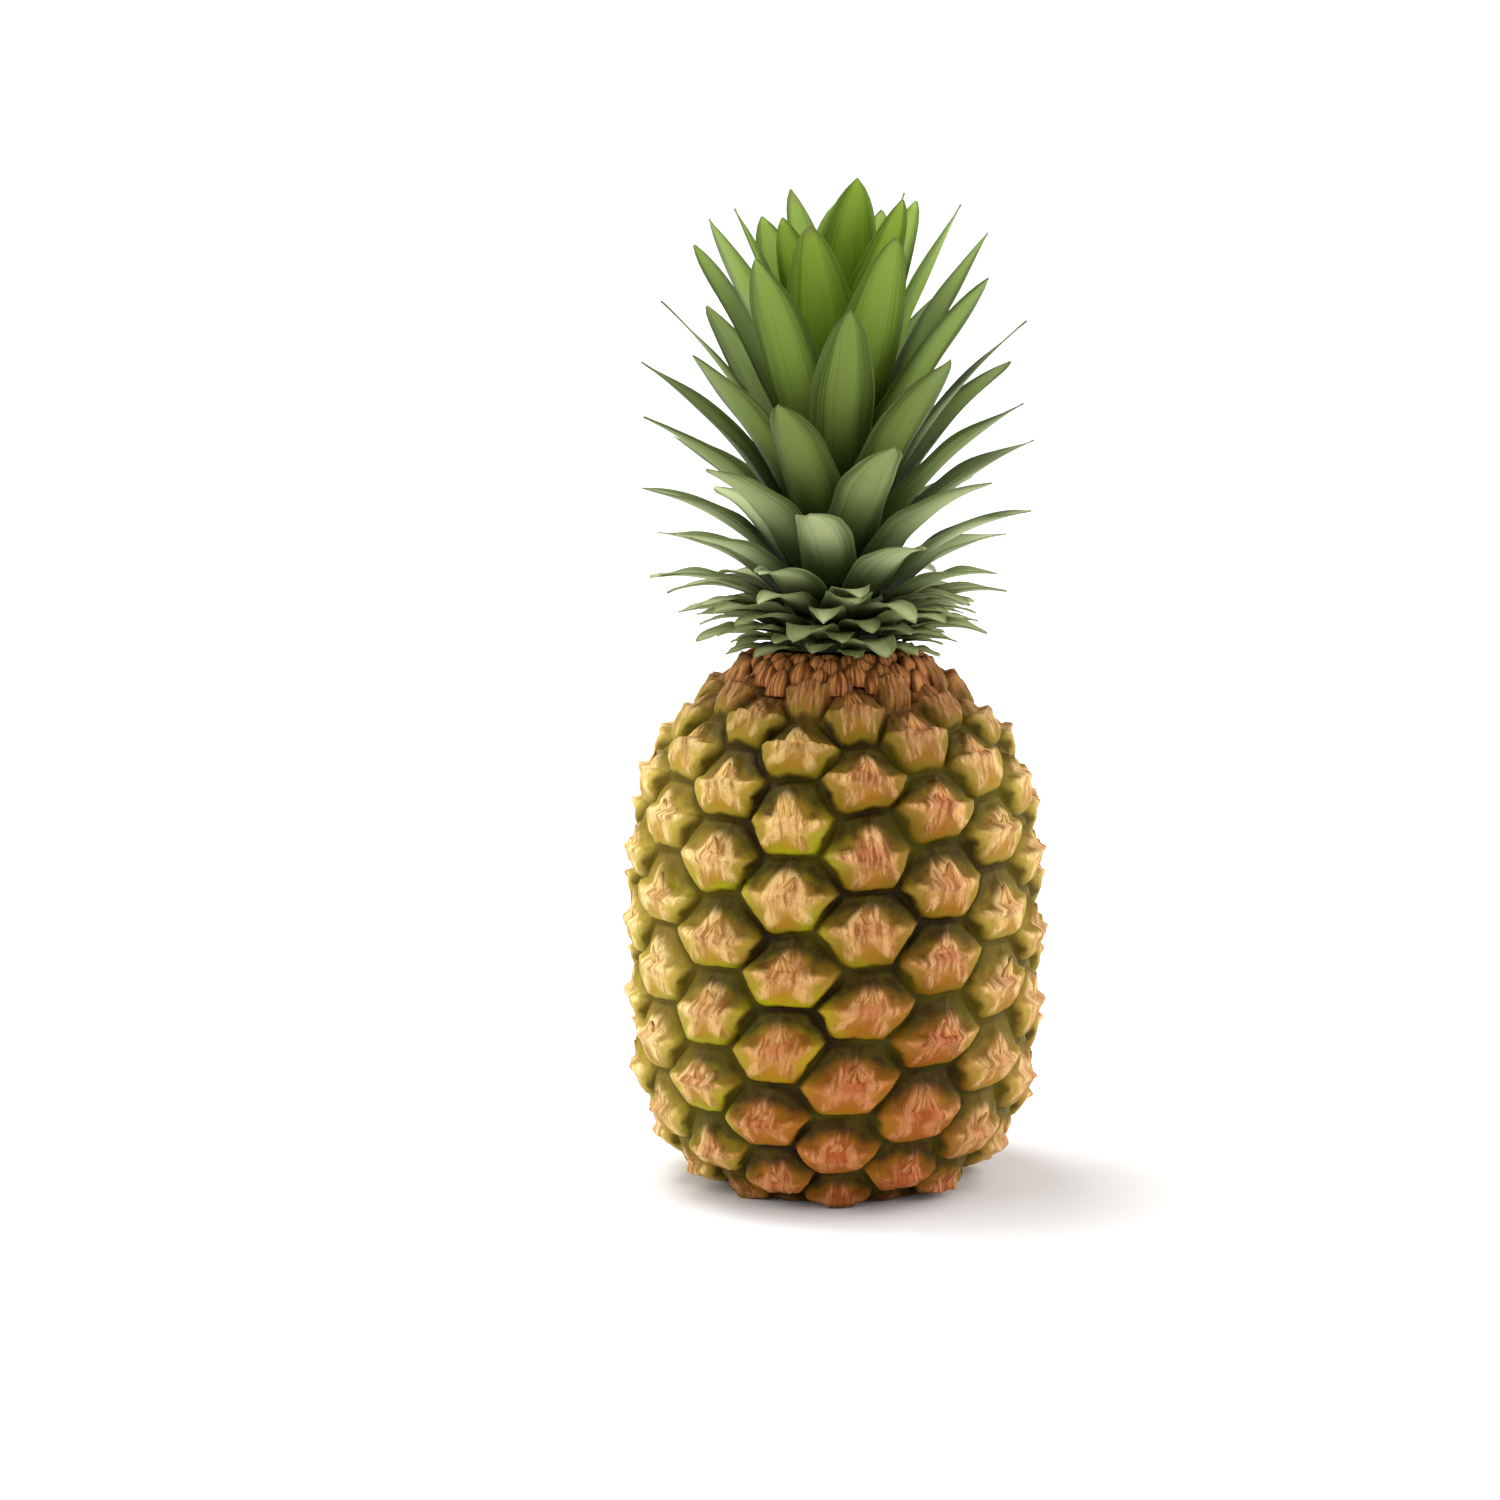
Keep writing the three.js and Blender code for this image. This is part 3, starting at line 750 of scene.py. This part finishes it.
def ripeness_group():
    """How warm the skin is: pale yellow on one side, partly its own colour and partly painted light where the
    lamp falls, and paled at the far right edge as a painted highlight; orange and pink towards the other side
    and the base.
    """
    outputs = ("Warm", "Green", "Neck", "PaleAndLit", "Red")
    tree, n, i, o = new_group(
        "ripeness",
        {"Place": "vector", "Seed": "value", "Coarse": "value"},
        dict.fromkeys(outputs, "value"),
    )
    x, _, z = n.split(i["Place"])
    drift = n.sub(i["Coarse"], 0.5)
    side = n.fall(n.add(x, n.mul(drift, 0.06)), -0.05, 0.04)
    low = n.fall(n.add(z, n.mul(drift, 0.05)), 0.095, 0.03)
    warm = n.math("MULTIPLY_ADD", i["Seed"], 0.3, n.add(n.mul(side, 0.60), n.mul(low, 0.45)))
    across = n.add(x, n.mul(drift, 0.03))
    # Painted highlight: the far right edge is made paler and less warm, as where light catches it.
    far_edge_pale_and_lit = n.fall(across, 0.028, 0.056)
    warm = n.math("SUBTRACT", warm, 0.08, clamp=True)
    n.put(o["Warm"], n.mul(warm, n.math("MULTIPLY_ADD", far_edge_pale_and_lit, -0.45, 1.0)))
    away = n.node("ShaderNodeVectorMath", operation="DISTANCE")
    n.put(away.inputs[0], i["Place"])
    n.put(away.inputs[1], (-0.016, -0.060, 0.058))
    patch = n.fall(n.add(away.outputs["Value"], n.mul(drift, 0.03)), 0.024, 0.006)
    green = n.mul(n.fall(i["Coarse"], 0.48, 0.66), n.fall(x, 0.03, -0.02))
    n.put(o["Green"], n.math("MAXIMUM", n.mul(green, 0.8), patch))
    n.put(o["Red"], n.mul(low, n.mul(n.fall(x, -0.042, -0.012), n.fall(across, 0.045, 0.020, 0.35, 1.0))))
    # Pale: partly the skin's own pale colour and partly painted light on the lit side, with the painted
    # highlight at the far right edge.
    n.put(o["PaleAndLit"], n.math("MAXIMUM", n.fall(across, -0.022, -0.058), n.mul(far_edge_pale_and_lit, 0.6)))
    n.put(o["Neck"], n.fall(n.add(z, n.mul(drift, 0.02)), 0.143, 0.156))
    return tree


def rind_material(pattern, grain, ripeness):
    material, n, shader = new_material("rind")
    place = n.object_place()
    seed, ring, _ = n.split(n.uv("eye_kind"))
    g = use_group(n, grain, Place=place)
    p = use_group(n, pattern, Place=n.uv("eye_place"), Seed=seed, Ring=ring, Wobble=g["Middle"])
    ripe = use_group(n, ripeness, Place=place, Seed=seed, Coarse=g["Coarse"])
    warm = ripe["Warm"]
    # Where the skin is paler: partly its own colour and partly painted light on the lit side and at the far
    # right edge.
    pale_and_lit_side = ripe["PaleAndLit"]
    # The eye's colours, from its low skirt up to the brown part above the star; that brown is partly its own
    # olive colour and partly painted shade in the recessed pockets.
    ground = n.blend(pale_and_lit_side, n.blend(warm, srgb(148, 118, 30), srgb(122, 76, 16)), srgb(182, 156, 66))
    ground = n.blend(n.mul(ripe["Green"], 0.7), ground, srgb(160, 160, 10))
    cream = n.blend(warm, srgb(202, 164, 90), srgb(186, 128, 72))
    cream = n.blend(pale_and_lit_side, cream, srgb(222, 186, 112))
    colour = n.blend(n.mul(p["Skirt"], 0.9), ground, cream)
    # Painted shade in part: the upper part of each eye, recessed under the eye above, turns brown, less so on
    # the lit side.
    brown = n.blend(n.fall(g["Middle"], 0.35, 0.65), srgb(76, 55, 8), srgb(134, 100, 28))
    colour = n.blend(n.mul(p["Upper"], n.math("MULTIPLY_ADD", pale_and_lit_side, -0.55, 0.92)), colour, brown)
    border = n.blend(warm, srgb(136, 118, 8), srgb(108, 76, 6))
    border = n.blend(ripe["Green"], border, srgb(150, 156, 2))
    border = n.blend(pale_and_lit_side, border, srgb(166, 146, 52))
    colour = n.blend(n.mul(p["Border"], 0.75), colour, border)
    # Dry fibres on the star and on the upright tip.
    fibre = n.blend(n.fall(p["Streak"], 0.42, 0.60), srgb(124, 58, 30), srgb(214, 152, 108))
    pale = n.blend(n.fall(p["Streak"], 0.36, 0.58), srgb(150, 104, 46), srgb(228, 196, 124))
    palest = n.blend(n.fall(p["Streak"], 0.36, 0.58), srgb(168, 124, 62), srgb(248, 220, 154))
    light = n.blend(n.mul(pale_and_lit_side, 0.85), n.blend(warm, pale, fibre), palest)
    colour = n.blend(n.mul(p["Star"], 0.7), colour, light)
    colour = n.blend(n.mul(p["Tip"], 0.85), colour, light)
    colour = n.blend(n.mul(p["Notch"], 0.5), colour, n.blend(warm, srgb(166, 118, 26), srgb(152, 80, 16)))
    colour = n.blend(n.mul(p["Core"], n.math("MULTIPLY_ADD", warm, 0.65, 0.1)), colour, srgb(166, 66, 38))
    colour = n.blend(n.mul(ripe["Red"], 0.4), colour, srgb(174, 88, 18))
    # The arch above the star, partly its own olive-brown and partly painted shade under the overlapping eye
    # above; the groove between eyes, its own dark colour with painted shade in the recess; and the browner
    # skin at the neck.
    # The groove's colour: partly its own dark colour and partly painted shade in the recess, lighter on the
    # lit side.
    dark = n.blend(n.fall(g["Coarse"], 0.42, 0.6), srgb(34, 23, 0), srgb(70, 62, 2))
    dark = n.blend(pale_and_lit_side, dark, srgb(104, 88, 16))
    shade = n.blend(n.fall(g["Middle"], 0.4, 0.6), srgb(34, 23, 0), srgb(54, 50, 5))
    shade = n.blend(pale_and_lit_side, shade, srgb(118, 98, 22))
    colour = n.blend(n.mul(p["ArchTintAndShade"], 0.92), colour, shade)
    # Painted shade: the skin darkens over the top shoulders below the neck.
    shoulder_shade = n.fall(n.add(n.split(place)[2], n.mul(n.sub(g["Coarse"], 0.5), 0.02)), 0.122, 0.150)
    colour = n.blend(n.mul(shoulder_shade, 0.38), colour, srgb(78, 58, 16))
    colour = n.blend(p["Groove"], colour, dark)
    neck = n.blend(n.fall(p["Streak"], 0.35, 0.65), srgb(84, 44, 16), srgb(168, 108, 60))
    colour = n.blend(n.mul(ripe["Neck"], 0.7), colour, neck)
    # Dry cork on the flat spot underneath.
    cork = n.blend(n.fall(g["Middle"], 0.35, 0.65), srgb(74, 50, 22), srgb(126, 92, 48))
    colour = n.blend(n.fall(n.split(place)[2], 0.0026, 0.0004, 0.0, 0.85), colour, cork)
    colour = n.blend(n.mul(n.fall(g["Fine"], 0.56, 0.7), 0.3), colour, srgb(86, 56, 20))
    n.put(shader.inputs["Specular IOR Level"], 0.08)
    n.put(shader.inputs["Base Color"], colour)
    n.put(shader.inputs["Roughness"], n.fall(g["Middle"], 0.2, 0.8, 0.40, 0.66))
    fibrous = n.mul(p["Streak"], n.mul(p["Tip"], 1.1))
    height = n.add(n.mul(g["Middle"], 0.6), n.add(n.mul(g["Fine"], 0.3), fibrous))
    put_bump(n, shader, 0.7, 0.0009, height)
    return material


def bract_material(grain, ripeness):
    """Dry, papery and fibrous, darker towards the point."""
    material, n, shader = new_material("bract")
    across, reach, _ = n.split(n.uv("blade"))
    seed, level, _ = n.split(n.uv("kind"))
    place = n.object_place()
    g = use_group(n, grain, Place=place)
    ripe = use_group(n, ripeness, Place=place, Seed=seed, Coarse=g["Coarse"])
    fibres = n.noise(n.join(n.mul(across, 8.0), n.mul(reach, 0.8), n.mul(seed, 50.0)), 1.0, 3.0, 0.65)
    base = n.blend(ripe["Warm"], srgb(212, 176, 100), srgb(200, 132, 80))
    # Paler where the skin is pale: partly its own colour and partly painted light on the lit side.
    base = n.blend(n.mul(ripe["PaleAndLit"], 0.85), base, srgb(234, 202, 128))
    shade = n.blend(ripe["Warm"], srgb(148, 106, 42), srgb(132, 62, 24))
    colour = n.blend(n.fall(fibres, 0.36, 0.62), shade, base)
    red = n.mul(n.mul(n.fall(reach, 0.45, 0.0), ripe["Warm"]), n.fall(fibres, 0.3, 0.55))
    colour = n.blend(n.mul(red, 0.6), colour, srgb(176, 72, 40))
    colour = n.blend(n.mul(n.fall(reach, 0.5, 1.0), 0.5), colour, srgb(96, 60, 30))
    brown = n.blend(n.fall(fibres, 0.38, 0.62), srgb(96, 48, 16), srgb(182, 118, 66))
    rim = n.fall(n.math("ABSOLUTE", n.math("MULTIPLY_ADD", across, 2.0, -1.0)), 0.45, 1.0)
    brown = n.blend(n.math("MAXIMUM", n.mul(rim, 0.85), n.fall(reach, 0.72, 1.0)), brown, srgb(62, 34, 12))
    colour = n.blend(n.mul(n.fall(level, 0.84, 0.93), 0.9), colour, brown)
    n.put(shader.inputs["Specular IOR Level"], 0.1)
    n.put(shader.inputs["Base Color"], colour)
    n.put(shader.inputs["Roughness"], n.fall(g["Middle"], 0.2, 0.8, 0.5, 0.8))
    put_bump(n, shader, 0.6, 0.0006, n.add(fibres, n.mul(g["Fine"], 0.3)))
    return material


def blade_group(grain):
    """Colour, roughness and height of a crown leaf from its place across and along it."""
    tree, n, i, o = new_group(
        "leaf_blade",
        {"Blade": "vector", "Seed": "value", "Age": "value", "Place": "vector"},
        {"Colour": "colour", "Roughness": "value", "Height": "value"},
    )
    across, along, _ = n.split(i["Blade"])
    g = use_group(n, grain, Place=i["Place"])
    shift = n.mul(i["Seed"], 37.0)
    veins = n.noise(n.join(n.mul(across, 26.0), n.mul(along, 1.1), shift), 1.0, 3.0, 0.6)
    bands = n.noise(n.join(n.mul(across, 5.0), n.mul(along, 0.8), n.add(shift, 9.0)), 1.0, 2.0, 0.5)
    side = n.math("ABSOLUTE", n.math("MULTIPLY_ADD", across, 2.0, -1.0))
    # Young upper leaves are yellow-green and clean; older lower ones are grey-green with a bloom.
    young = n.fall(i["Age"], 0.62, 0.95)
    grown = n.fall(i["Age"], 0.3, 0.6)
    deep = n.blend(young, n.blend(grown, srgb(88, 104, 56), srgb(44, 60, 16)), srgb(70, 96, 16))
    light = n.blend(young, n.blend(grown, srgb(188, 198, 148), srgb(114, 132, 64)), srgb(134, 160, 52))
    middle = n.fall(side, 1.0, 0.15)
    bloom = n.fall(n.add(n.mul(veins, 0.45), n.add(n.mul(bands, 0.25), n.mul(middle, 0.28))), 0.22, 0.66)
    bloom = n.mul(bloom, n.fall(along, 0.0, 0.55, 0.3, 1.0))
    colour = n.blend(bloom, deep, light)
    # Painted shade: each leaf darkens towards its foot, where the leaves around it shade it.
    foot = n.fall(along, 0.62, 0.12)
    colour = n.blend(n.mul(foot, 0.85), colour, n.blend(bands, srgb(30, 42, 10), srgb(54, 70, 24)))
    # A pale line along each leaf's margin, partly the margin's own colour and partly a painted highlight.
    colour = n.blend(n.mul(n.fall(side, 0.92, 1.0), 0.15), colour, srgb(110, 118, 60))
    tip_start = n.fall(i["Seed"], 0.0, 1.0, 0.93, 1.0)
    dry = n.fall(n.add(along, n.mul(n.sub(g["Middle"], 0.5), 0.06)), tip_start, n.add(tip_start, 0.05))
    colour = n.blend(n.mul(dry, 0.5), colour, srgb(104, 90, 56))
    spots = n.mul(n.fall(g["Middle"], 0.64, 0.74), n.sub(1.0, young))
    colour = n.blend(n.mul(spots, 0.25), colour, srgb(104, 100, 62))
    n.put(o["Colour"], colour)
    n.put(o["Roughness"], n.fall(veins, 0.2, 0.8, 0.36, 0.56))
    n.put(o["Height"], n.add(veins, n.mul(g["Fine"], 0.12)))
    return tree


def leaf_material(name, blade, tint=None, dryness=0.0):
    material, n, shader = new_material(name)
    seed, age, _ = n.split(n.uv("kind"))
    look = use_group(n, blade, Blade=n.uv("blade"), Seed=seed, Age=age, Place=n.object_place())
    colour = look["Colour"]
    if tint:
        along = n.split(n.uv("blade"))[1]
        colour = n.blend(n.mul(n.fall(along, 0.1, 1.0, 0.3, 1.0), dryness), colour, tint)
    n.put(shader.inputs["Specular IOR Level"], 0.14)
    n.put(shader.inputs["Base Color"], colour)
    n.put(shader.inputs["Roughness"], look["Roughness"])
    put_bump(n, shader, 0.35, 0.0004, look["Height"])
    return material


def stem_material(name, grain, dark, light):
    material, n, shader = new_material(name)
    place = n.object_place()
    g = use_group(n, grain, Place=place)
    streaks = n.noise(n.scale(place, (420.0, 420.0, 60.0)), 1.0, 3.0, 0.6)
    colour = n.blend(n.fall(streaks, 0.3, 0.7), dark, light)
    colour = n.blend(n.mul(n.fall(g["Middle"], 0.55, 0.75), 0.5), colour, srgb(52, 44, 18))
    n.put(shader.inputs["Specular IOR Level"], 0.25)
    n.put(shader.inputs["Base Color"], colour)
    n.put(shader.inputs["Roughness"], n.fall(g["Middle"], 0.2, 0.8, 0.6, 0.85))
    put_bump(n, shader, 0.6, 0.0008, streaks)
    return material


# ------------------------------------------------------------------ floor, light and camera


def make_stage():
    bm = bmesh.new()
    bmesh.ops.create_grid(bm, x_segments=1, y_segments=1, size=6.0)
    mesh = bpy.data.meshes.new("floor")
    bm.to_mesh(mesh)
    bm.free()
    floor = bpy.data.objects.new("floor", mesh)
    bpy.context.scene.collection.objects.link(floor)
    material = bpy.data.materials.new("floor")
    material.use_nodes = True
    shader = material.node_tree.nodes["Principled BSDF"]
    shader.inputs["Base Color"].default_value = (0.78, 0.78, 0.785, 1.0)
    shader.inputs["Roughness"].default_value = 0.9
    shader.inputs["Specular IOR Level"].default_value = 0.0
    mesh.materials.append(material)


def make_light():
    """Soft white light all round, a lamp high up behind on the left, and a broad one at each side."""
    world = bpy.data.worlds.new("studio")
    world.use_nodes = True
    n = Net(world.node_tree)
    background = world.node_tree.nodes["Background"]
    n.put(background.inputs["Color"], (1.0, 1.0, 1.0, 1.0))
    seen = n.node("ShaderNodeLightPath").outputs["Is Camera Ray"]
    n.put(background.inputs["Strength"], n.math("MULTIPLY_ADD", seen, 0.66, 0.46))
    bpy.context.scene.world = world
    for name, direction, strength, angle in (
        ("key", (-0.4, 0.32, 1.25), 2.1, 30.0),
        ("left", (-1.0, -0.05, 0.6), 2.7, 80.0),
        ("right", (1.0, 0.0, 0.5), 3.2, 80.0),
    ):
        light = bpy.data.lights.new(name, "SUN")
        light.energy = strength
        light.angle = math.radians(angle)
        holder = bpy.data.objects.new(name, light)
        holder.location = direction
        holder.rotation_euler = Vector(direction).to_track_quat("Z", "Y").to_euler()
        bpy.context.scene.collection.objects.link(holder)


def make_camera():
    elevation, distance = math.radians(8.0), 1.255
    target = Vector((0.0, 0.0, 0.150))
    data = bpy.data.cameras.new("camera")
    data.lens = 100.0
    data.sensor_width = 36.0
    data.shift_x = -0.0567
    data.shift_y = -0.0413
    camera = bpy.data.objects.new("camera", data)
    back = Vector((0.0, -math.cos(elevation), math.sin(elevation)))
    camera.location = target + back * distance
    camera.rotation_euler = (-back).to_track_quat("-Z", "Y").to_euler()
    bpy.context.scene.collection.objects.link(camera)
    bpy.context.scene.camera = camera


def main():
    grain = grain_group()
    pattern = eye_pattern_group()
    blade = blade_group(grain)
    ripeness = ripeness_group()
    rind = rind_material(pattern, grain, ripeness)
    bract = bract_material(grain, ripeness)
    leaf = leaf_material("leaf", blade)
    collar = leaf_material("collar_leaf", blade, srgb(132, 128, 78), 0.35)
    fibre = stem_material("stem_fibre", grain, srgb(24, 32, 8), srgb(70, 80, 34))
    stalk = stem_material("stalk_fibre", grain, srgb(66, 48, 24), srgb(158, 134, 86))
    make_fruit(rind)
    make_bract_tips(bract)
    make_neck_bracts(bract)
    make_stalk(stalk)
    make_leaves(leaf)
    make_collar(collar)
    make_heart(leaf)
    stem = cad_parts["crown_stem"]
    stem.data.materials.clear()
    stem.data.materials.append(fibre)
    make_stage()
    make_light()
    make_camera()
    bpy.context.scene.view_settings.view_transform = "Standard"


main()
